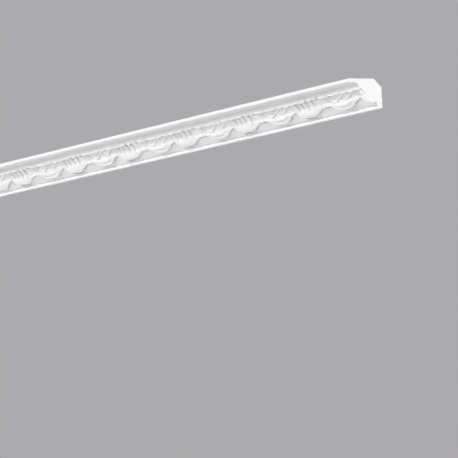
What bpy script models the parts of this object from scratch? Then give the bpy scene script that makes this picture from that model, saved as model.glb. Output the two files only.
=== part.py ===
"""A cut length of moulded polystyrene cornice, one solid.

X runs along the moulding, +Y points into the wall and +Z up. The origin is the centre of the flat face
that is glued to the wall, so the room is on the -Y side and the ceiling face looks up.
Section points are (depth from the wall, height over the bottom edge), in metres. The carving is a height
over the slanting band, and its places are shares of the repeat (u) and of the band's width (w).
"""

import math

import bmesh
import bpy
import numpy as np

# Length and repeat
LENGTH = 1.08
REPEAT = 0.160
NEAR_END_PHASE = 0.958
COLUMNS_PER_REPEAT = 48
COLUMNS_PER_PLAIN_FACE = 12

# Section
PROJECTION = 0.045
HEIGHT = 0.035
LIP_HEIGHT = 0.004
BACK_CHAMFER = 0.010
BAND_TOP_DEPTH = 0.0306
BAND_TOP_DROP = 0.0096
FOOT_DEPTH = 0.0061
FOOT_HEIGHT = 0.0028
QUIRK_DEPTH = 0.0007
QUIRK_WIDTH = 0.0006
COVE_STEPS = 6
COVE_POWER = 0.75

# Relief over the band's chord
RIM_WIDTH = 0.0018
EDGE_WIDTH = 0.0016
LOBE_HEIGHT = 0.0014
LOBE_LENGTH = 0.060
LOBE_WIDTH = 0.017
FOLD_HEIGHT = 0.0010
FOLD_HALF_WIDTH = 0.0027
BEAD_HEIGHT = 0.0020
BEAD_HALF_WIDTH = 0.0014
CURL_LENGTH = 0.0200
CURL_WIDTH = 0.0112
CURL_HEIGHT = 0.0014
CURL_POCKET = 0.0014
CURL_HALF_BREADTH = 0.26
CURL_GAP = 0.7
CURL_GAP_HALF = 0.8
GROOVE_DEPTH = 0.0022
GROOVE_HALF_WIDTH = 0.0014
LEAF_ROWS = 10

# Places in the repeat, as (u, w)
LOBE_CENTRE = (-0.005, 0.72)
CURL_CENTRE = (0.500, 0.24)
FOLDS_FROM_EDGE = (0.085, 0.255)
FOLDS_START = (0.330, 0.400)
FOLDS_END = (0.620, 0.760)
GROOVE_DEEPEST = -0.02
GROOVE_REACH = 0.13
GROOVE_LEAST = 0.25
GROOVE_WIDENING = 1.0
GROOVE_LOWEST = 0.98
BEAD_PLACE = 0.050
BEADS = ((0.015, 0.115), (0.140, 0.225), (0.315, 0.455), (0.475, 0.665), (0.685, 0.755), (0.775, 0.895),
         (0.920, 0.985))

# Turns of the valance's edge, as (u, w, whether it leaves steeply and then eases)
FLANK_POWER = 2.3
VALANCE_TURNS = (
    (-0.140, 0.52, True),
    (-0.050, 0.86, False),
    (0.020, 0.88, False),
    (0.330, 0.56, False),
    (0.400, 0.55, True),
    (0.510, 0.86, False),
    (0.600, 0.86, False),
    (0.860, 0.52, False),
)

# How far the carving's bed stands over the chord, as (w, height)
BED = ((0.0, 0.0), (0.05, 0.0006), (0.16, -0.0008), (0.36, -0.0004), (0.54, 0.0016), (0.66, 0.0018),
       (0.85, 0.0017), (1.0, 0.0016))

# Leaf fingers: u at the top, u at the tip, w of the tip, bend, half-widths at top and tip, height, fade
FINGERS = (
    (-0.085, -0.075, 0.50, 1.2, 0.0044, 0.0024, 0.0018, 2.5),
    (-0.005, -0.005, 0.50, 1.0, 0.0044, 0.0026, 0.0015, 2.5),
    (0.085, 0.070, 0.50, 1.0, 0.0056, 0.0032, 0.0019, 2.5),
    (0.180, 0.160, 0.50, 1.0, 0.0036, 0.0022, 0.0014, 2.5),
    (0.262, 0.310, 0.56, 1.6, 0.0050, 0.0030, 0.0015, 2.0),
    (0.780, 0.580, 0.28, 0.9, 0.0026, 0.0018, 0.0015, 3.0),
    (0.880, 0.660, 0.44, 0.9, 0.0028, 0.0018, 0.0015, 3.0),
)

# How full each shape's rounded cross-section is: a smaller power is squarer
RIDGE_POWER = 0.7
TIP_POWER = 0.5
FOLD_POWER = 0.5
BEAD_END_POWER = 0.4
LOBE_POWER = 1.0
GROOVE_POWER = 0.8
LEAST_SHARE = 0.05

# Finish
FOAM_COLOUR = (0.93, 0.93, 0.92, 1.0)
FOAM_ROUGHNESS = 0.6

# Worked out from the sizes above
WALL_FACE_HEIGHT = HEIGHT - BACK_CHAMFER
BAND_TOP = (BAND_TOP_DEPTH, HEIGHT - BAND_TOP_DROP)
BAND_FOOT = (FOOT_DEPTH, FOOT_HEIGHT + QUIRK_WIDTH)
BAND_WIDTH = math.dist(BAND_TOP, BAND_FOOT)
ALONG_BAND = ((BAND_FOOT[0] - BAND_TOP[0]) / BAND_WIDTH, (BAND_FOOT[1] - BAND_TOP[1]) / BAND_WIDTH)
OUT_OF_BAND = (-ALONG_BAND[1], ALONG_BAND[0])


def smooth(t):
    """An S-shaped ramp from 0 to 1."""
    t = np.clip(t, 0.0, 1.0)
    return t * t * (3.0 - 2.0 * t)


def wrapped(u):
    """A distance in repeats to the nearest copy."""
    return (u + 0.5) % 1.0 - 0.5


def dome(distance, power):
    """A rounded rise from 0 at distance 1 to 1 at distance 0."""
    return np.clip(1.0 - distance**2, 0.0, 1.0) ** power


def pattern_place(u):
    """u moved into the repeat that starts at the valance's first crest."""
    start = VALANCE_TURNS[0][0]
    return (u - start) % 1.0 + start


def valance_edge(u):
    """Where the wavy lower edge of the carving crosses the band: eased waves between its turns."""
    place = pattern_place(u)
    edge = np.zeros_like(place)
    for (u0, w0, steep), (u1, w1, _) in zip(VALANCE_TURNS[:-1], VALANCE_TURNS[1:]):
        share = np.clip((place - u0) / (u1 - u0), 0.0, 1.0)
        course = 1.0 - (1.0 - share) ** FLANK_POWER if steep else (1.0 - np.cos(math.pi * share)) / 2.0
        edge = np.where((place >= u0) & (place <= u1), w0 + (w1 - w0) * course, edge)
    return edge


def bed_height(w):
    """The height of the carving's bed over the chord."""
    height = np.zeros_like(w)
    for (w0, h0), (w1, h1) in zip(BED[:-1], BED[1:]):
        rise = h0 + (h1 - h0) * smooth((w - w0) / (w1 - w0))
        height = np.where((w >= w0) & (w <= w1), rise, height)
    return height


def finger(u, w, u_top, u_tip, w_tip, bend, half_top, half_tip, height, fade):
    """One leaf finger: a rounded ridge that sweeps from the rim to its tip and thins on the way."""
    share = np.clip(w / w_tip, 0.0, 1.0)
    sweep = u_tip - u_top
    turning = bend * np.maximum(share, LEAST_SHARE) ** (bend - 1.0)
    lean = sweep * turning * REPEAT / (w_tip * BAND_WIDTH)
    across = wrapped(u - u_top - sweep * share**bend) * REPEAT / np.sqrt(1.0 + lean**2)
    half = half_top + (half_tip - half_top) * share
    return height * dome(across / half, RIDGE_POWER) * dome(share**fade, TIP_POWER)


def leaf(u, w):
    """All the leaf fingers, with creases where they meet."""
    relief = np.zeros_like(w)
    for shape in FINGERS:
        relief = np.maximum(relief, finger(u, w, *shape))
    return relief


def curl_parts(u, w):
    """The hooked leaf tip, an oval ring open at one side, and the pocket that it curls round."""
    along = wrapped(u - CURL_CENTRE[0]) * REPEAT / (CURL_LENGTH / 2.0)
    down = (w - CURL_CENTRE[1]) * BAND_WIDTH / (CURL_WIDTH / 2.0)
    across = (np.hypot(along, down) - 1.0) / CURL_HALF_BREADTH
    away_from_gap = np.abs(wrapped((np.arctan2(down, along) + CURL_GAP) / (2.0 * math.pi))) * 2.0 * math.pi
    ring = CURL_HEIGHT * dome(across, RIDGE_POWER) * smooth((away_from_gap - CURL_GAP_HALF) / CURL_GAP_HALF)
    return ring, CURL_POCKET * smooth(-across)


def rim_beads(u, w):
    """The scalloped row of leaf tops along the rim."""
    relief = np.zeros_like(w)
    across = (w - BEAD_PLACE) * BAND_WIDTH / BEAD_HALF_WIDTH
    for start, end in BEADS:
        along = wrapped(u - (start + end) / 2.0) / ((end - start) / 2.0)
        relief = np.maximum(relief, BEAD_HEIGHT * dome(along, BEAD_END_POWER) * dome(across, RIDGE_POWER))
    return relief


def folds(u, w):
    """The swag's folds, which run beside the valance's edge under the leaf."""
    place = pattern_place(u)
    start = smooth((place - FOLDS_START[0]) / (FOLDS_START[1] - FOLDS_START[0]))
    end = smooth((FOLDS_END[1] - place) / (FOLDS_END[1] - FOLDS_END[0]))
    edge = valance_edge(u)
    relief = np.zeros_like(w)
    for offset in FOLDS_FROM_EDGE:
        across = (w - edge + offset) * BAND_WIDTH / FOLD_HALF_WIDTH
        relief = np.maximum(relief, FOLD_HEIGHT * dome(across, FOLD_POWER))
    return relief * start * end


def lobe(u, w):
    """The large smooth lobe."""
    along = wrapped(u - LOBE_CENTRE[0]) * REPEAT / (LOBE_LENGTH / 2.0)
    down = (w - LOBE_CENTRE[1]) * BAND_WIDTH / (LOBE_WIDTH / 2.0)
    return LOBE_HEIGHT * dome(np.hypot(along, down), LOBE_POWER)


def under_lobe(u):
    """1 right under the large lobe, 0 away from it."""
    return dome(wrapped(u - GROOVE_DEEPEST) / GROOVE_REACH, TIP_POWER)


def groove_half_width(u):
    """Half the width of the groove along the valance's edge."""
    return GROOVE_HALF_WIDTH * (1.0 + GROOVE_WIDENING * under_lobe(u))


def groove(u, from_edge):
    """The depth of the groove along the valance's edge, deepest under the large lobe."""
    depth = GROOVE_DEPTH * (GROOVE_LEAST + (1.0 - GROOVE_LEAST) * under_lobe(u))
    return depth * dome(from_edge / groove_half_width(u), GROOVE_POWER)


def relief_height(u, w):
    """The whole relief over the band's chord: carving above the valance's edge, flat ground below it."""
    from_edge = (w - valance_edge(u)) * BAND_WIDTH
    ring, pocket = curl_parts(u, w)
    carving = np.maximum(leaf(u, w) - pocket, ring)
    for part in (folds, lobe, rim_beads):
        carving = np.maximum(carving, part(u, w))
    rim = smooth(w * BAND_WIDTH / RIM_WIDTH)
    inside = smooth(-from_edge / EDGE_WIDTH)
    return (bed_height(w) + carving * rim) * inside - groove(u, from_edge)


def band_rows(u):
    """The w of each row of band points in each column: rows follow the rim and the valance's edge."""
    rim = RIM_WIDTH / BAND_WIDTH
    edge = valance_edge(u)
    edge_top = edge - EDGE_WIDTH / BAND_WIDTH
    rows = [np.zeros_like(u), np.full_like(u, rim / 2.0)]
    for step in range(LEAF_ROWS + 1):
        rows.append(rim + (edge_top - rim) * step / LEAF_ROWS)
    groove_foot = np.minimum(edge + groove_half_width(u) / BAND_WIDTH, GROOVE_LOWEST)
    return np.array(rows + [edge, groove_foot, np.ones_like(u)])


def cove_points():
    """The full hollow under the lip, a squared quarter ellipse from the lip's lower edge to the band."""
    reach = PROJECTION - BAND_TOP_DEPTH
    rise = HEIGHT - LIP_HEIGHT - BAND_TOP[1]
    points = []
    for step in range(COVE_STEPS):
        angle = math.pi / 2.0 * step / COVE_STEPS
        inward, up = math.sin(angle) ** COVE_POWER, math.cos(angle) ** COVE_POWER
        points.append((PROJECTION - reach * inward, BAND_TOP[1] + rise * up))
    return points


def section_rings(stations):
    """The (depth, height) of each ring point at each station, and which strips of faces run on plain.

    A ring goes from the lip's top edge down the face, under the foot and up the back. A strip lies
    between a ring point and the next one.
    """
    u = (stations - LENGTH / 2.0) / REPEAT + NEAR_END_PHASE
    w = band_rows(u)
    height = relief_height(np.broadcast_to(u, w.shape), w)
    band_depth = BAND_TOP[0] + w * BAND_WIDTH * ALONG_BAND[0] + height * OUT_OF_BAND[0]
    band_height = BAND_TOP[1] + w * BAND_WIDTH * ALONG_BAND[1] + height * OUT_OF_BAND[1]
    above = [(PROJECTION, HEIGHT)] + cove_points()
    below = [
        (FOOT_DEPTH - QUIRK_DEPTH, FOOT_HEIGHT + QUIRK_WIDTH / 2.0),
        (FOOT_DEPTH, FOOT_HEIGHT),
        (FOOT_DEPTH, 0.0),
        (0.0, 0.0),
        (0.0, WALL_FACE_HEIGHT),
        (BACK_CHAMFER, HEIGHT),
    ]
    rings = []
    for column in range(len(stations)):
        band = list(zip(band_depth[:, column], band_height[:, column]))
        rings.append(above + band + below)
    carved = range(len(above), len(above) + len(w) - 1)
    plain = [strip for strip in range(len(rings[0])) if strip not in carved]
    return rings, plain


def sweep_rings(bm, rings, stations):
    """A grid bent into a tube, with one line of points for each ring and its seam closed."""
    columns = len(stations) - 1
    points = len(rings[0])
    bmesh.ops.create_grid(bm, x_segments=columns, y_segments=points, size=0.5)
    places = {}
    for vert in bm.verts:
        column = round((vert.co.x + 0.5) * columns)
        row = round((vert.co.y + 0.5) * points)
        places[vert] = (column, row % points)
    by_place = {}
    merged = {}
    for vert, (column, row) in places.items():
        depth, height = rings[column][row]
        vert.co = (stations[column], -depth, height - WALL_FACE_HEIGHT / 2.0)
        if (column, row) in by_place:
            merged[vert] = by_place[(column, row)]
        by_place.setdefault((column, row), vert)
    bmesh.ops.weld_verts(bm, targetmap=merged)
    return by_place


def widen_plain_faces(bm, by_place, plain, columns, points):
    """Cross edges taken out of the plain strips, apart from each COLUMNS_PER_PLAIN_FACE-th one."""
    spare = []
    for column in range(1, columns):
        if column % COLUMNS_PER_PLAIN_FACE == 0:
            continue
        for strip in plain:
            ends = (by_place[(column, strip)], by_place[(column, (strip + 1) % points)])
            spare.append(bm.edges.get(ends))
    bmesh.ops.dissolve_edges(bm, edges=spare, use_verts=True)


def foam_material():
    """White moulded polystyrene foam with a closed skin."""
    material = bpy.data.materials.new("white polystyrene")
    material.use_nodes = True
    shader = material.node_tree.nodes["Principled BSDF"]
    shader.inputs["Base Color"].default_value = FOAM_COLOUR
    shader.inputs["Roughness"].default_value = FOAM_ROUGHNESS
    shader.inputs["Metallic"].default_value = 0.0
    material.diffuse_color = FOAM_COLOUR
    return material


def build_cornice():
    """The cornice as one closed body, cut square at both ends."""
    columns = max(2, round(LENGTH / REPEAT * COLUMNS_PER_REPEAT))
    stations = LENGTH / 2.0 - LENGTH * np.arange(columns + 1) / columns
    rings, plain = section_rings(stations)
    bm = bmesh.new()
    by_place = sweep_rings(bm, rings, stations)
    widen_plain_faces(bm, by_place, plain, columns, len(rings[0]))
    bmesh.ops.holes_fill(bm, edges=[edge for edge in bm.edges if edge.is_boundary], sides=0)
    bmesh.ops.triangulate(bm, faces=bm.faces[:], quad_method="SHORT_EDGE", ngon_method="BEAUTY")
    bmesh.ops.recalc_face_normals(bm, faces=bm.faces[:])
    mesh = bpy.data.meshes.new("cornice")
    bm.to_mesh(mesh)
    bm.free()
    mesh.materials.append(foam_material())
    cornice = bpy.data.objects.new("cornice", mesh)
    bpy.context.scene.collection.objects.link(cornice)
    return cornice


def main():
    for old in list(bpy.data.objects):
        bpy.data.objects.remove(old, do_unlink=True)
    build_cornice()


main()
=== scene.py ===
"""The looks of a length of moulded polystyrene cornice.

X runs along the moulding, +Y points into the wall and +Z up, in metres. The origin is the centre of the
flat face that is glued to the wall. Points of the section are (depth from the wall, height over the
bottom edge). The carving is a height over the slanting band between the hollow and the foot: its places
are shares of the repeat (u) and of the band's width (w), and its heights and widths are metres.
"""

from __future__ import annotations

import logging
import math
from dataclasses import dataclass, field
from enum import Enum
from typing import Any

import bmesh
import bpy
import numpy as np
from mathutils import Matrix, Vector


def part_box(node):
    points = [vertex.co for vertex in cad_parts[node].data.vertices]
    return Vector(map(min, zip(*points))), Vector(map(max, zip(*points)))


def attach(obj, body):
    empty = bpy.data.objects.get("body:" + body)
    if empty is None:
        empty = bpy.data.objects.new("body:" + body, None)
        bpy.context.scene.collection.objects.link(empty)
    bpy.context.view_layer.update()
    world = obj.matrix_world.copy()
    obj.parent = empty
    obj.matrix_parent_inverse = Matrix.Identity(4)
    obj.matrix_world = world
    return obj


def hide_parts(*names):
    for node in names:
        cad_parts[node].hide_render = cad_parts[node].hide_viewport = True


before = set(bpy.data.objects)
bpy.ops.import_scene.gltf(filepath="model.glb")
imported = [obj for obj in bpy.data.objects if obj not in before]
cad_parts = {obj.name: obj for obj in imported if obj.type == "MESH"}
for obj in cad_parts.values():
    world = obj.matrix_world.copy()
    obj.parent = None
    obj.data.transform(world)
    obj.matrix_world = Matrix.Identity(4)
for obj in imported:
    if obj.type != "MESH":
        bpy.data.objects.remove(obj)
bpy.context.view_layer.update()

LOG = logging.getLogger("cornice")

Point = tuple[float, float]
Colour = tuple[float, float, float, float]

# How full a rounded cross-section is: a smaller power is squarer
RIDGE_POWER = 0.7
TIP_POWER = 0.5
FOLD_POWER = 0.5
BEAD_END_POWER = 0.4
LOBE_POWER = 1.0
GROOVE_POWER = 0.8

# The share of a finger's length from which its lean is worked out, as it may be endless at the rim
LEAST_SHARE = 0.05

# Half the side of the square grid that is bent into the moulding
GRID_HALF = 0.5


class Flank(Enum):
    """How the valance's edge leaves a turn: in a half cosine wave, or steeply and then easing."""

    EASY = "easy"
    STEEP = "steep"


class Side(Enum):
    """Which finish a face of the foam takes, as its material index."""

    SKIN = 0
    CUT = 1


def smooth(t: np.ndarray) -> np.ndarray:
    """An S-shaped ramp.

    Args:
        t: places along the ramp.

    Returns:
        0 up to place 0, 1 from place 1 on.
    """
    t = np.clip(t, 0.0, 1.0)
    return t * t * (3.0 - 2.0 * t)


def wrapped(u: np.ndarray) -> np.ndarray:
    """A distance to the nearest copy of a place in the repeat.

    Args:
        u: distances along the moulding, in repeats.

    Returns:
        Distances from -0.5 to 0.5.
    """
    return (u + 0.5) % 1.0 - 0.5


def dome(distance: np.ndarray, power: float) -> np.ndarray:
    """A rounded rise.

    Args:
        distance: how far out a place is, as a share of the shape's half-width.
        power: how full the shape is.

    Returns:
        1 in the middle, 0 from distance 1 outwards.
    """
    return np.clip(1.0 - distance**2, 0.0, 1.0) ** power


class Value:
    """A number that a shader works out, with Python's operators adding Math nodes."""

    def __init__(self, graph: Graph, socket: bpy.types.NodeSocket) -> None:
        """Wraps one output socket.

        Args:
            graph: the graph that the socket is in.
            socket: a node's output.
        """
        self.graph = graph
        self.socket = socket

    def _math(self, operation: str, first: Any, second: Any) -> Value:
        """A Math node on two numbers or values.

        Args:
            operation: Blender's name of the sum.
            first: its first number or Value.
            second: its second one.

        Returns:
            The node's result.
        """
        node = self.graph.node("ShaderNodeMath", {"operation": operation}, {0: first, 1: second})
        return Value(self.graph, node.outputs[0])

    def __add__(self, other: Any) -> Value:
        """self + other."""
        return self._math("ADD", self, other)

    def __radd__(self, other: Any) -> Value:
        """other + self."""
        return self._math("ADD", other, self)

    def __rsub__(self, other: Any) -> Value:
        """other - self."""
        return self._math("SUBTRACT", other, self)

    def __mul__(self, other: Any) -> Value:
        """self * other."""
        return self._math("MULTIPLY", self, other)


class Graph:
    """The node tree of one material."""

    def __init__(self, name: str) -> None:
        """Starts a material with a Principled shader.

        Args:
            name: the material's name.
        """
        self.material = bpy.data.materials.new(name)
        self.material.use_nodes = True
        self.tree = self.material.node_tree
        self.shader = self.tree.nodes["Principled BSDF"]

    def node(self, kind: str, settings: dict[str, Any], sockets: dict[Any, Any]) -> bpy.types.Node:
        """Adds a node.

        Args:
            kind: the node's type.
            settings: its properties, set before its sockets.
            sockets: a number, colour, Value or output socket for each input, by name or place.

        Returns:
            The new node.
        """
        node = self.tree.nodes.new(kind)
        for name, setting in settings.items():
            setattr(node, name, setting)
        for name, given in sockets.items():
            self.feed(node.inputs[name], given)
        return node

    def feed(self, socket: bpy.types.NodeSocket, given: Any) -> None:
        """Links or sets one input.

        Args:
            socket: the input.
            given: a Value, an output socket, or a plain value.
        """
        if isinstance(given, Value):
            given = given.socket
        if isinstance(given, bpy.types.NodeSocket):
            self.tree.links.new(given, socket)
        else:
            socket.default_value = given

    def value(self, kind: str, settings: dict[str, Any], sockets: dict[Any, Any], output: Any = 0) -> Value:
        """Adds a node whose output is used in sums.

        Args:
            kind: the node's type.
            settings: its properties.
            sockets: what its inputs are given.
            output: the output's name or place.

        Returns:
            That output as a Value.
        """
        return Value(self, self.node(kind, settings, sockets).outputs[output])


@dataclass(frozen=True)
class Foam:
    """White polystyrene foam: beads pressed into cells, under a skin or laid open by a cut.

    The colour drifts a little between two whites, cell walls are slightly duller, and the surface dips
    along them. Sizes are in metres, and grain_scale is the number of grains across a bead.
    """

    name: str
    white: Colour
    shade: Colour
    roughness: float
    dip: float
    grain: float
    bead_size: float = 0.003
    wall_share: float = 0.16
    wall_tone: float = 0.35
    wall_roughness: float = 0.08
    grain_roughness: float = 0.06
    grain_scale: float = 2.5
    grain_detail: float = 3.0
    drift_size: float = 0.045
    drift_tone: float = 0.5
    drift_detail: float = 2.0
    reflectivity: float = 0.35

    def noise(self, graph: Graph, place: bpy.types.NodeSocket, scale: float, detail: float) -> Value:
        """Soft noise over the foam.

        Args:
            graph: the material's graph.
            place: the object coordinates.
            scale: lumps in a metre.
            detail: how many finer layers it has.

        Returns:
            The noise, from 0 to 1.
        """
        return graph.value("ShaderNodeTexNoise", {}, {"Vector": place, "Scale": scale, "Detail": detail})

    def beads(self, graph: Graph, place: bpy.types.NodeSocket) -> Value:
        """The pressed beads.

        Args:
            graph: the material's graph.
            place: the object coordinates.

        Returns:
            0 on a cell wall and 1 inside a bead.
        """
        walls = graph.value(
            "ShaderNodeTexVoronoi",
            {"feature": "DISTANCE_TO_EDGE"},
            {"Vector": place, "Scale": 1.0 / self.bead_size},
            "Distance",
        )
        ramp = {"Value": walls, "From Min": 0.0, "From Max": self.wall_share}
        return graph.value("ShaderNodeMapRange", {"interpolation_type": "SMOOTHSTEP"}, ramp)

    def material(self) -> bpy.types.Material:
        """Builds the finish.

        Returns:
            The material.
        """
        graph = Graph(self.name)
        place = graph.node("ShaderNodeTexCoord", {}, {}).outputs["Object"]
        inside = self.beads(graph, place)
        fine = self.noise(graph, place, self.grain_scale / self.bead_size, self.grain_detail)
        drift = self.noise(graph, place, 1.0 / self.drift_size, self.drift_detail)
        tone = (1.0 - inside) * self.wall_tone + drift * self.drift_tone
        whites = {"Factor": tone, "A": self.white, "B": self.shade}
        colour = graph.node("ShaderNodeMix", {"data_type": "RGBA"}, whites)
        height = inside * self.dip + fine * self.grain
        bump = graph.node("ShaderNodeBump", {}, {"Height": height, "Distance": 1.0, "Strength": 1.0})
        rough = self.roughness + (1.0 - inside) * self.wall_roughness + fine * self.grain_roughness
        graph.feed(graph.shader.inputs["Base Color"], colour.outputs["Result"])
        graph.feed(graph.shader.inputs["Roughness"], rough)
        graph.feed(graph.shader.inputs["Normal"], bump.outputs["Normal"])
        graph.feed(graph.shader.inputs["Specular IOR Level"], self.reflectivity)
        return graph.material


MOULDED_SKIN = Foam(
    name="moulded foam skin",
    white=(0.80, 0.80, 0.795, 1.0),
    shade=(0.77, 0.77, 0.765, 1.0),
    roughness=0.58,
    dip=0.00004,
    grain=0.00002,
)
CUT_FOAM = Foam(
    name="cut foam",
    white=(0.82, 0.82, 0.815, 1.0),
    shade=(0.77, 0.77, 0.765, 1.0),
    roughness=0.72,
    dip=0.00012,
    grain=0.00006,
)


@dataclass(frozen=True)
class Finger:
    """One leaf finger of the carving: a rounded ridge that runs from the rim down to its tip.

    u_top and u_tip are its ends' places in the repeat, w_tip how far down the band it reaches, bend how
    late it turns aside, half_top and half_tip its half-widths at the ends, and fade how late it sinks
    into the bed.
    """

    u_top: float
    u_tip: float
    w_tip: float
    bend: float
    half_top: float
    half_tip: float
    height: float
    fade: float


def fan_fingers() -> tuple[Finger, ...]:
    """The flutes that fan out over the large lobe.

    Returns:
        Five fingers, from the left one to the one that ends beside the curl.
    """
    return (
        Finger(-0.085, -0.075, 0.50, 1.2, 0.0044, 0.0024, 0.0018, 2.5),
        Finger(-0.005, -0.005, 0.50, 1.0, 0.0044, 0.0026, 0.0015, 2.5),
        Finger(0.085, 0.070, 0.50, 1.0, 0.0056, 0.0032, 0.0019, 2.5),
        Finger(0.180, 0.160, 0.50, 1.0, 0.0036, 0.0022, 0.0014, 2.5),
        Finger(0.262, 0.310, 0.56, 1.6, 0.0050, 0.0030, 0.0015, 2.0),
    )


def counter_leaf_fingers() -> tuple[Finger, ...]:
    """The leaf that runs down to the left, to a tip beside the curl.

    Returns:
        Two fingers, the upper one first.
    """
    return (
        Finger(0.780, 0.580, 0.28, 0.9, 0.0026, 0.0018, 0.0015, 3.0),
        Finger(0.880, 0.660, 0.44, 0.9, 0.0028, 0.0018, 0.0015, 3.0),
    )


@dataclass(frozen=True)
class Carving:
    """The ornament of the band, which repeats along the moulding.

    The folds rise between the two u of folds_start, sink between those of folds_end, and lie
    folds_from_edge above the valance's edge, in w. curl_size is half the curl's length and half its
    breadth, curl_half_width a share of them, and curl_gap and curl_gap_half are angles in radians.
    groove_deepest and groove_reach are u, and groove_least and groove_widening shares of the groove's full
    depth and half-width. beads holds each leaf top's first and last u, valance_turns the edge's turns as
    (u, w, how it leaves them), and bed pairs of (w, height).
    """

    repeat: float = 0.160
    band_width: float = 0.0328
    rim_width: float = 0.0018
    edge_width: float = 0.0010
    lobe_height: float = 0.0014
    lobe_length: float = 0.060
    lobe_width: float = 0.017
    lobe_centre: Point = (-0.005, 0.72)
    fold_height: float = 0.0010
    fold_half_width: float = 0.0027
    folds_from_edge: tuple[float, ...] = (0.085, 0.255)
    folds_start: Point = (0.330, 0.400)
    folds_end: Point = (0.620, 0.760)
    curl_centre: Point = (0.500, 0.24)
    curl_size: Point = (0.0100, 0.0056)
    curl_half_width: float = 0.26
    curl_height: float = 0.0014
    curl_pocket: float = 0.0014
    curl_gap: float = 0.7
    curl_gap_half: float = 0.8
    flank_power: float = 2.3
    groove_depth: float = 0.0022
    groove_half_width: float = 0.0014
    groove_deepest: float = -0.02
    groove_reach: float = 0.13
    groove_least: float = 0.25
    groove_widening: float = 1.0
    bead_place: float = 0.050
    bead_half_width: float = 0.0014
    bead_height: float = 0.0020
    beads: tuple[Point, ...] = (
        (0.015, 0.115),
        (0.140, 0.225),
        (0.315, 0.455),
        (0.475, 0.665),
        (0.685, 0.755),
        (0.775, 0.895),
        (0.920, 0.985),
    )
    valance_turns: tuple[tuple[float, float, Flank], ...] = (
        (-0.140, 0.52, Flank.STEEP),
        (-0.050, 0.86, Flank.EASY),
        (0.020, 0.88, Flank.EASY),
        (0.330, 0.56, Flank.EASY),
        (0.400, 0.55, Flank.STEEP),
        (0.510, 0.86, Flank.EASY),
        (0.600, 0.86, Flank.EASY),
        (0.860, 0.52, Flank.EASY),
    )
    bed: tuple[Point, ...] = (
        (0.0, 0.0),
        (0.05, 0.0006),
        (0.16, -0.0008),
        (0.36, -0.0004),
        (0.54, 0.0016),
        (0.66, 0.0018),
        (0.85, 0.0017),
        (1.0, 0.0016),
    )
    fingers: tuple[Finger, ...] = fan_fingers() + counter_leaf_fingers()

    def place(self, u: np.ndarray) -> np.ndarray:
        """Where a place falls in the repeat that starts at the valance's first crest.

        Args:
            u: places along the moulding, in repeats.

        Returns:
            The same places in that repeat.
        """
        start = self.valance_turns[0][0]
        return (u - start) % 1.0 + start

    def valance_edge(self, u: np.ndarray) -> np.ndarray:
        """Where the wavy lower edge of the carving crosses the band.

        Args:
            u: places along the moulding, in repeats.

        Returns:
            The edge's w at each place.
        """
        place = self.place(u)
        edge = np.zeros_like(place)
        for (u0, w0, flank), (u1, w1, _) in zip(self.valance_turns[:-1], self.valance_turns[1:]):
            share = np.clip((place - u0) / (u1 - u0), 0.0, 1.0)
            if flank is Flank.STEEP:
                course = 1.0 - (1.0 - share) ** self.flank_power
            else:
                course = (1.0 - np.cos(math.pi * share)) / 2.0
            edge = np.where((place >= u0) & (place <= u1), w0 + (w1 - w0) * course, edge)
        return edge

    def bed_height(self, w: np.ndarray) -> np.ndarray:
        """The carving's bed.

        Args:
            w: places across the band.

        Returns:
            Its height over the band's chord.
        """
        height = np.zeros_like(w)
        for (w0, h0), (w1, h1) in zip(self.bed[:-1], self.bed[1:]):
            rise = h0 + (h1 - h0) * smooth((w - w0) / (w1 - w0))
            height = np.where((w >= w0) & (w <= w1), rise, height)
        return height

    def finger_height(self, u: np.ndarray, w: np.ndarray, finger: Finger) -> np.ndarray:
        """One leaf finger.

        Args:
            u: places along the moulding, in repeats.
            w: places across the band.
            finger: the finger's sizes.

        Returns:
            How far it stands over the bed.
        """
        share = np.clip(w / finger.w_tip, 0.0, 1.0)
        sweep = finger.u_tip - finger.u_top
        turning = finger.bend * np.maximum(share, LEAST_SHARE) ** (finger.bend - 1.0)
        lean = sweep * turning * self.repeat / (finger.w_tip * self.band_width)
        along = wrapped(u - finger.u_top - sweep * share**finger.bend) * self.repeat
        across = along / np.sqrt(1.0 + lean**2)
        half = finger.half_top + (finger.half_tip - finger.half_top) * share
        return finger.height * dome(across / half, RIDGE_POWER) * dome(share**finger.fade, TIP_POWER)

    def leaf(self, u: np.ndarray, w: np.ndarray) -> np.ndarray:
        """All the leaf fingers, with creases where they meet.

        Args:
            u: places along the moulding, in repeats.
            w: places across the band.

        Returns:
            How far they stand over the bed.
        """
        relief = np.zeros_like(w)
        for finger in self.fingers:
            relief = np.maximum(relief, self.finger_height(u, w, finger))
        return relief

    def curl(self, u: np.ndarray, w: np.ndarray) -> tuple[np.ndarray, np.ndarray]:
        """The hooked leaf tip.

        Args:
            u: places along the moulding, in repeats.
            w: places across the band.

        Returns:
            The height of its ring, which is open at one side, and the depth of the pocket inside it.
        """
        along = wrapped(u - self.curl_centre[0]) * self.repeat / self.curl_size[0]
        down = (w - self.curl_centre[1]) * self.band_width / self.curl_size[1]
        across = (np.hypot(along, down) - 1.0) / self.curl_half_width
        turn = (np.arctan2(down, along) + self.curl_gap) / math.tau
        away_from_gap = np.abs(wrapped(turn)) * math.tau
        closed = smooth((away_from_gap - self.curl_gap_half) / self.curl_gap_half)
        return self.curl_height * dome(across, RIDGE_POWER) * closed, self.curl_pocket * smooth(-across)

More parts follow.
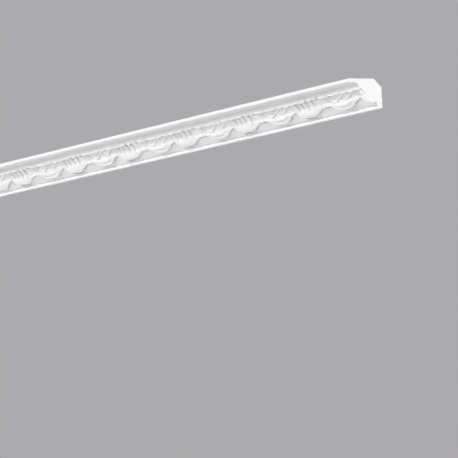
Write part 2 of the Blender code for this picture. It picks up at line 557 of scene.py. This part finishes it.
    def rim_beads(self, u: np.ndarray, w: np.ndarray) -> np.ndarray:
        """The scalloped row of leaf tops along the rim.

        Args:
            u: places along the moulding, in repeats.
            w: places across the band.

        Returns:
            How far they stand over the bed.
        """
        relief = np.zeros_like(w)
        across = (w - self.bead_place) * self.band_width / self.bead_half_width
        for start, end in self.beads:
            along = wrapped(u - (start + end) / 2.0) / ((end - start) / 2.0)
            bead = self.bead_height * dome(along, BEAD_END_POWER) * dome(across, RIDGE_POWER)
            relief = np.maximum(relief, bead)
        return relief

    def folds(self, u: np.ndarray, w: np.ndarray) -> np.ndarray:
        """The swag's folds, which run beside the valance's edge under the leaf.

        Args:
            u: places along the moulding, in repeats.
            w: places across the band.

        Returns:
            How far they stand over the bed.
        """
        place = self.place(u)
        start = smooth((place - self.folds_start[0]) / (self.folds_start[1] - self.folds_start[0]))
        end = smooth((self.folds_end[1] - place) / (self.folds_end[1] - self.folds_end[0]))
        edge = self.valance_edge(u)
        relief = np.zeros_like(w)
        for offset in self.folds_from_edge:
            across = (w - edge + offset) * self.band_width / self.fold_half_width
            relief = np.maximum(relief, self.fold_height * dome(across, FOLD_POWER))
        return relief * start * end

    def lobe(self, u: np.ndarray, w: np.ndarray) -> np.ndarray:
        """The large smooth lobe.

        Args:
            u: places along the moulding, in repeats.
            w: places across the band.

        Returns:
            How far it stands over the bed.
        """
        along = wrapped(u - self.lobe_centre[0]) * self.repeat / (self.lobe_length / 2.0)
        down = (w - self.lobe_centre[1]) * self.band_width / (self.lobe_width / 2.0)
        return self.lobe_height * dome(np.hypot(along, down), LOBE_POWER)

    def under_lobe(self, u: np.ndarray) -> np.ndarray:
        """How near a place is to the bottom of the large lobe.

        Args:
            u: places along the moulding, in repeats.

        Returns:
            1 right under the lobe, 0 away from it.
        """
        return dome(wrapped(u - self.groove_deepest) / self.groove_reach, TIP_POWER)

    def groove_half(self, u: np.ndarray) -> np.ndarray:
        """Half the width of the groove along the valance's edge.

        Args:
            u: places along the moulding, in repeats.

        Returns:
            Widths in metres.
        """
        return self.groove_half_width * (1.0 + self.groove_widening * self.under_lobe(u))

    def groove(self, u: np.ndarray, from_edge: np.ndarray) -> np.ndarray:
        """The groove along the valance's edge, deepest under the large lobe.

        Args:
            u: places along the moulding, in repeats.
            from_edge: distances across the band from the valance's edge, in metres.

        Returns:
            Its depth in metres.
        """
        depth = self.groove_depth * (self.groove_least + (1.0 - self.groove_least) * self.under_lobe(u))
        return depth * dome(from_edge / self.groove_half(u), GROOVE_POWER)

    def height(self, u: np.ndarray, w: np.ndarray) -> np.ndarray:
        """The whole relief over the band's chord.

        Args:
            u: places along the moulding, in repeats.
            w: places across the band, from 0 at the rim to 1 at the foot.

        Returns:
            Heights in metres: carving above the valance's edge, flat ground below it.
        """
        from_edge = (w - self.valance_edge(u)) * self.band_width
        ring, pocket = self.curl(u, w)
        carving = np.maximum(self.leaf(u, w) - pocket, ring)
        for part in (self.folds, self.lobe, self.rim_beads):
            carving = np.maximum(carving, part(u, w))
        rim = smooth(w * self.band_width / self.rim_width)
        inside = smooth(-from_edge / self.edge_width)
        return (self.bed_height(w) + carving * rim) * inside - self.groove(u, from_edge)


@dataclass(frozen=True)
class Section:
    """The moulding's cross-section, from the lip's top edge round to the back chamfer."""

    projection: float
    height: float
    lip_height: float = 0.004
    back_chamfer: float = 0.010
    band_top_depth: float = 0.0306
    band_top_drop: float = 0.0096
    foot_depth: float = 0.0061
    foot_height: float = 0.0028
    quirk_depth: float = 0.0007
    quirk_width: float = 0.0006
    arris: float = 0.0005
    arris_steps: int = 3
    cove_steps: int = 20
    cove_power: float = 0.75

    @property
    def wall_face(self) -> float:
        """The height of the face that is glued to the wall."""
        return self.height - self.back_chamfer

    @property
    def band_top(self) -> Point:
        """The band's upper edge."""
        return self.band_top_depth, self.height - self.band_top_drop

    @property
    def band_foot(self) -> Point:
        """The band's lower edge."""
        return self.foot_depth, self.foot_height + self.quirk_width

    def rounded(self, before: Point, corner: Point, after: Point) -> list[Point]:
        """An outer corner worn round by the mould.

        Args:
            before: a point on the side that comes before the corner.
            corner: the sharp corner.
            after: a point on the side that follows.

        Returns:
            Points on a curve that starts and ends one arris from the corner.
        """
        middle = Vector(corner)
        start = middle + (Vector(before) - middle).normalized() * self.arris
        end = middle + (Vector(after) - middle).normalized() * self.arris
        points = []
        for step in range(self.arris_steps + 1):
            t = step / self.arris_steps
            point = start * (1.0 - t) ** 2 + middle * 2.0 * t * (1.0 - t) + end * t**2
            points.append((point.x, point.y))
        return points

    def above_band(self) -> list[Point]:
        """The lip and the full hollow under it, a squared quarter ellipse down to the band.

        Returns:
            Points from the lip's top edge to just above the band.
        """
        lip_top = (self.projection, self.height)
        lip_foot = (self.projection, self.height - self.lip_height)
        reach = self.projection - self.band_top[0]
        rise = lip_foot[1] - self.band_top[1]
        hollow = []
        for step in range(1, self.cove_steps):
            angle = math.pi / 2.0 * step / self.cove_steps
            inward, up = math.sin(angle) ** self.cove_power, math.cos(angle) ** self.cove_power
            hollow.append((self.projection - reach * inward, self.band_top[1] + rise * up))
        top = self.rounded((self.back_chamfer, self.height), lip_top, lip_foot)
        return top + self.rounded(lip_top, lip_foot, hollow[0]) + hollow

    def below_band(self) -> list[Point]:
        """The quirk, the foot and the flat back.

        Returns:
            Points from the quirk to the top of the back chamfer.
        """
        quirk = (self.foot_depth - self.quirk_depth, self.foot_height + self.quirk_width / 2.0)
        foot_top = (self.foot_depth, self.foot_height)
        foot_corner = (self.foot_depth, 0.0)
        back = [(0.0, 0.0), (0.0, self.wall_face), (self.back_chamfer, self.height)]
        return [quirk, foot_top] + self.rounded(foot_top, foot_corner, back[0]) + back


@dataclass
class Cornice:
    """One length of the moulding, cut square at both ends.

    near_end_phase is the u of its near end, column_width the spacing of its cross lines, and plain_column
    how many columns a plain face spans. The rows count the strips of each stretch across the band.
    """

    length: float
    section: Section
    carving: Carving = field(default_factory=Carving)
    near_end_phase: float = 0.958
    column_width: float = 0.00092
    plain_column: int = 30
    rim_rows: int = 6
    leaf_rows: int = 56
    edge_rows: int = 4
    groove_rows: int = 8
    ground_rows: int = 4
    crease_angle: float = 38.0
    skin: Foam = MOULDED_SKIN
    cut: Foam = CUT_FOAM

    def band_rows(self, u: np.ndarray) -> np.ndarray:
        """The w of each row of band points in each column.

        Args:
            u: the columns' places, in repeats.

        Returns:
            One row for each line of points: they follow the rim, the valance's edge and its groove.
        """
        rim = self.carving.rim_width / self.carving.band_width
        edge = self.carving.valance_edge(u)
        edge_top = edge - self.carving.edge_width / self.carving.band_width
        rows = [np.full_like(u, rim * step / self.rim_rows) for step in range(self.rim_rows)]
        rows += [rim + (edge_top - rim) * step / self.leaf_rows for step in range(self.leaf_rows)]
        rows += [edge_top + (edge - edge_top) * step / self.edge_rows for step in range(self.edge_rows)]
        groove = self.carving.groove_half(u) / self.carving.band_width
        rows += [edge + groove * step / self.groove_rows for step in range(self.groove_rows)]
        ground = 1.0 - edge - groove
        rows += [edge + groove + ground * step / self.ground_rows for step in range(self.ground_rows + 1)]
        return np.array(rows)

    def rings(self, stations: np.ndarray) -> tuple[np.ndarray, range]:
        """The section at each station.

        Args:
            stations: places along X, in metres.

        Returns:
            (depth, height) by ring point and station, and the strips between ring points that are carved.
        """
        top = Vector(self.section.band_top)
        chord = Vector(self.section.band_foot) - top
        outward = Vector((-chord.y, chord.x)).normalized()
        u = (stations - self.length / 2.0) / self.carving.repeat + self.near_end_phase
        w = self.band_rows(u)
        height = self.carving.height(np.broadcast_to(u, w.shape), w)
        band = np.stack([top[axis] + w * chord[axis] + height * outward[axis] for axis in (0, 1)], axis=-1)
        above = np.array(self.section.above_band())
        below = np.array(self.section.below_band())
        spread = [np.repeat(points[:, None, :], len(stations), axis=1) for points in (above, below)]
        carved = range(len(above), len(above) + len(w) - 1)
        return np.concatenate([spread[0], band, spread[1]]), carved

    def sweep(self, bm: bmesh.types.BMesh, rings: np.ndarray, stations: np.ndarray) -> dict[Point, Any]:
        """Bends a grid into a tube with one line of points for each ring.

        Args:
            bm: an empty bmesh.
            rings: (depth, height) by ring point and station.
            stations: places along X.

        Returns:
            The vertex at each (station, ring point).
        """
        points, columns = len(rings), len(stations) - 1
        bmesh.ops.create_grid(bm, x_segments=columns, y_segments=points, size=GRID_HALF)
        by_place: dict[Point, Any] = {}
        merged = {}
        for vert in bm.verts:
            column = round((vert.co.x + GRID_HALF) * columns)
            row = round((vert.co.y + GRID_HALF) * points) % points
            depth, height = rings[row, column]
            vert.co = (stations[column], -depth, height - self.section.wall_face / 2.0)
            if (column, row) in by_place:
                merged[vert] = by_place[(column, row)]
            else:
                by_place[(column, row)] = vert
        bmesh.ops.weld_verts(bm, targetmap=merged)
        return by_place

    def widen_plain_faces(self, bm: bmesh.types.BMesh, by_place: dict[Point, Any], carved: range) -> None:
        """Takes cross edges out of the strips that run on plain, apart from every plain_column-th one.

        Args:
            bm: the swept tube.
            by_place: its vertex at each (station, ring point).
            carved: the strips that keep all their cross edges.
        """
        columns = max(column for column, row in by_place)
        points = max(row for column, row in by_place) + 1
        spare = []
        for strip in range(points):
            if strip in carved:
                continue
            for column in range(1, columns):
                if column % self.plain_column:
                    ends = (by_place[(column, strip)], by_place[(column, (strip + 1) % points)])
                    spare.append(bm.edges.get(ends))
        bmesh.ops.dissolve_edges(bm, edges=spare, use_verts=True)

    def mesh(self) -> bpy.types.Mesh:
        """Models the moulding.

        Returns:
            One closed mesh, its cut ends in their own material.
        """
        columns = round(self.length / self.column_width)
        stations = self.length / 2.0 - self.length * np.arange(columns + 1) / columns
        rings, carved = self.rings(stations)
        bm = bmesh.new()
        by_place = self.sweep(bm, rings, stations)
        self.widen_plain_faces(bm, by_place, carved)
        open_edges = [edge for edge in bm.edges if edge.is_boundary]
        ends = bmesh.ops.holes_fill(bm, edges=open_edges, sides=0)["faces"]
        for face in bm.faces:
            face.smooth = True
            face.material_index = Side.SKIN.value
        for face in ends:
            face.smooth = False
            face.material_index = Side.CUT.value
        bmesh.ops.recalc_face_normals(bm, faces=bm.faces[:])
        mesh = bpy.data.meshes.new("moulded_length")
        bm.to_mesh(mesh)
        bm.free()
        mesh.set_sharp_from_angle(angle=math.radians(self.crease_angle))
        return mesh

    def build(self) -> bpy.types.Object:
        """Models and dresses the moulding, in the place of its solid.

        Returns:
            The one piece.
        """
        mesh = self.mesh()
        mesh.materials.append(self.skin.material())
        mesh.materials.append(self.cut.material())
        piece = bpy.data.objects.new("moulded_length", mesh)
        bpy.context.scene.collection.objects.link(piece)
        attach(piece, "root")
        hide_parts("cornice")
        return piece


@dataclass(frozen=True)
class Lamp:
    """A distant soft light.

    towards is the direction from the object to the light, strength its irradiance, and spread its
    angular width in degrees.
    """

    name: str
    towards: tuple[float, float, float]
    strength: float
    spread: float

    def build(self) -> None:
        """Hangs the light."""
        data = bpy.data.lights.new(self.name, "SUN")
        data.energy = self.strength
        data.angle = math.radians(self.spread)
        lamp = bpy.data.objects.new(self.name, data)
        lamp.rotation_euler = Vector(self.towards).to_track_quat("Z", "Y").to_euler()
        bpy.context.scene.collection.objects.link(lamp)


@dataclass
class Studio:
    """The pale floor, the soft lights and the camera.

    backdrop is what the camera sees round the moulding, and surroundings the faint light that falls on it
    from there. The camera's angles are degrees and its lens is in millimetres.
    """

    tone_gamma: float = 0.62
    floor_drop: float = 1.0
    floor_width: float = 2.6
    floor_colour: Colour = (0.62, 0.62, 0.63, 1.0)
    floor_roughness: float = 0.8
    backdrop: Colour = (0.57, 0.57, 0.58, 1.0)
    surroundings: Colour = (0.02, 0.02, 0.02, 1.0)
    camera_place: tuple[float, float, float] = (5.6642, -2.9466, -0.6105)
    camera_heading: float = 61.922
    camera_rise: float = 4.497
    camera_roll: float = -2.956
    camera_lens: float = 395.94
    camera_nearest: float = 0.1
    camera_farthest: float = 100.0
    lamps: tuple[Lamp, ...] = (
        Lamp("key", (0.0, -0.91, 0.42), 2.28, 30.0),
        Lamp("side", (0.99, -0.12, 0.09), 3.7, 30.0),
        Lamp("low_fill", (-0.50, -0.76, -0.42), 1.66, 30.0),
        Lamp("wall_bounce", (-0.60, 0.40, -0.70), 3.1, 90.0),
        Lamp("back_fill", (-0.45, 0.75, 0.50), 3.0, 60.0),
    )

    def build_floor(self) -> None:
        """Lays a plain pale floor, which lets the lamps below it shine through, well under the moulding."""
        bm = bmesh.new()
        drop = Matrix.Translation((0.0, 0.0, -self.floor_drop))
        bmesh.ops.create_grid(bm, x_segments=1, y_segments=1, size=self.floor_width / 2.0, matrix=drop)
        mesh = bpy.data.meshes.new("floor")
        bm.to_mesh(mesh)
        bm.free()
        graph = Graph("pale floor")
        graph.feed(graph.shader.inputs["Base Color"], self.floor_colour)
        graph.feed(graph.shader.inputs["Roughness"], self.floor_roughness)
        mesh.materials.append(graph.material)
        floor = bpy.data.objects.new("floor", mesh)
        bpy.context.scene.collection.objects.link(floor)
        floor.visible_shadow = False
        floor.visible_diffuse = False

    def build_surroundings(self) -> None:
        """Sets the grey backdrop for the camera and the faint even light for everything else."""
        world = bpy.data.worlds.new("surroundings")
        world.use_nodes = True
        tree = world.node_tree
        seen = tree.nodes["Background"]
        seen.inputs["Color"].default_value = self.backdrop
        ambient = tree.nodes.new("ShaderNodeBackground")
        ambient.inputs["Color"].default_value = self.surroundings
        ray = tree.nodes.new("ShaderNodeLightPath")
        mix = tree.nodes.new("ShaderNodeMixShader")
        tree.links.new(ray.outputs["Is Camera Ray"], mix.inputs[0])
        tree.links.new(ambient.outputs[0], mix.inputs[1])
        tree.links.new(seen.outputs[0], mix.inputs[2])
        tree.links.new(mix.outputs[0], tree.nodes["World Output"].inputs["Surface"])
        bpy.context.scene.world = world

    def set_tones(self) -> None:
        """Sets the view's curve, which brings out the shades of the white foam."""
        view = bpy.context.scene.view_settings
        view.view_transform = "Standard"
        view.gamma = self.tone_gamma

    def build_camera(self) -> None:
        """Sets up the long lens that looks up along the moulding from its near end."""
        data = bpy.data.cameras.new("camera")
        data.lens = self.camera_lens
        data.clip_start = self.camera_nearest
        data.clip_end = self.camera_farthest
        camera = bpy.data.objects.new("camera", data)
        turn = Matrix.Rotation(math.radians(self.camera_heading), 4, "Z")
        rise = Matrix.Rotation(math.radians(90.0 + self.camera_rise), 4, "X")
        roll = Matrix.Rotation(math.radians(self.camera_roll), 4, "Z")
        camera.matrix_world = Matrix.Translation(self.camera_place) @ turn @ rise @ roll
        bpy.context.scene.collection.objects.link(camera)
        bpy.context.scene.camera = camera

    def build(self) -> None:
        """Builds the floor, the lights and the camera."""
        self.build_floor()
        self.build_surroundings()
        self.set_tones()
        for lamp in self.lamps:
            lamp.build()
        self.build_camera()


def main() -> None:
    """Builds the moulding and the studio round it."""
    logging.basicConfig(level=logging.INFO, format="%(message)s")
    low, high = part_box("cornice")
    section = Section(projection=high[1] - low[1], height=high[2] - low[2])
    piece = Cornice(high[0] - low[0], section).build()
    LOG.info("built %s with %d faces", piece.name, len(piece.data.polygons))
    Studio().build()


if __name__ == "__main__":
    main()
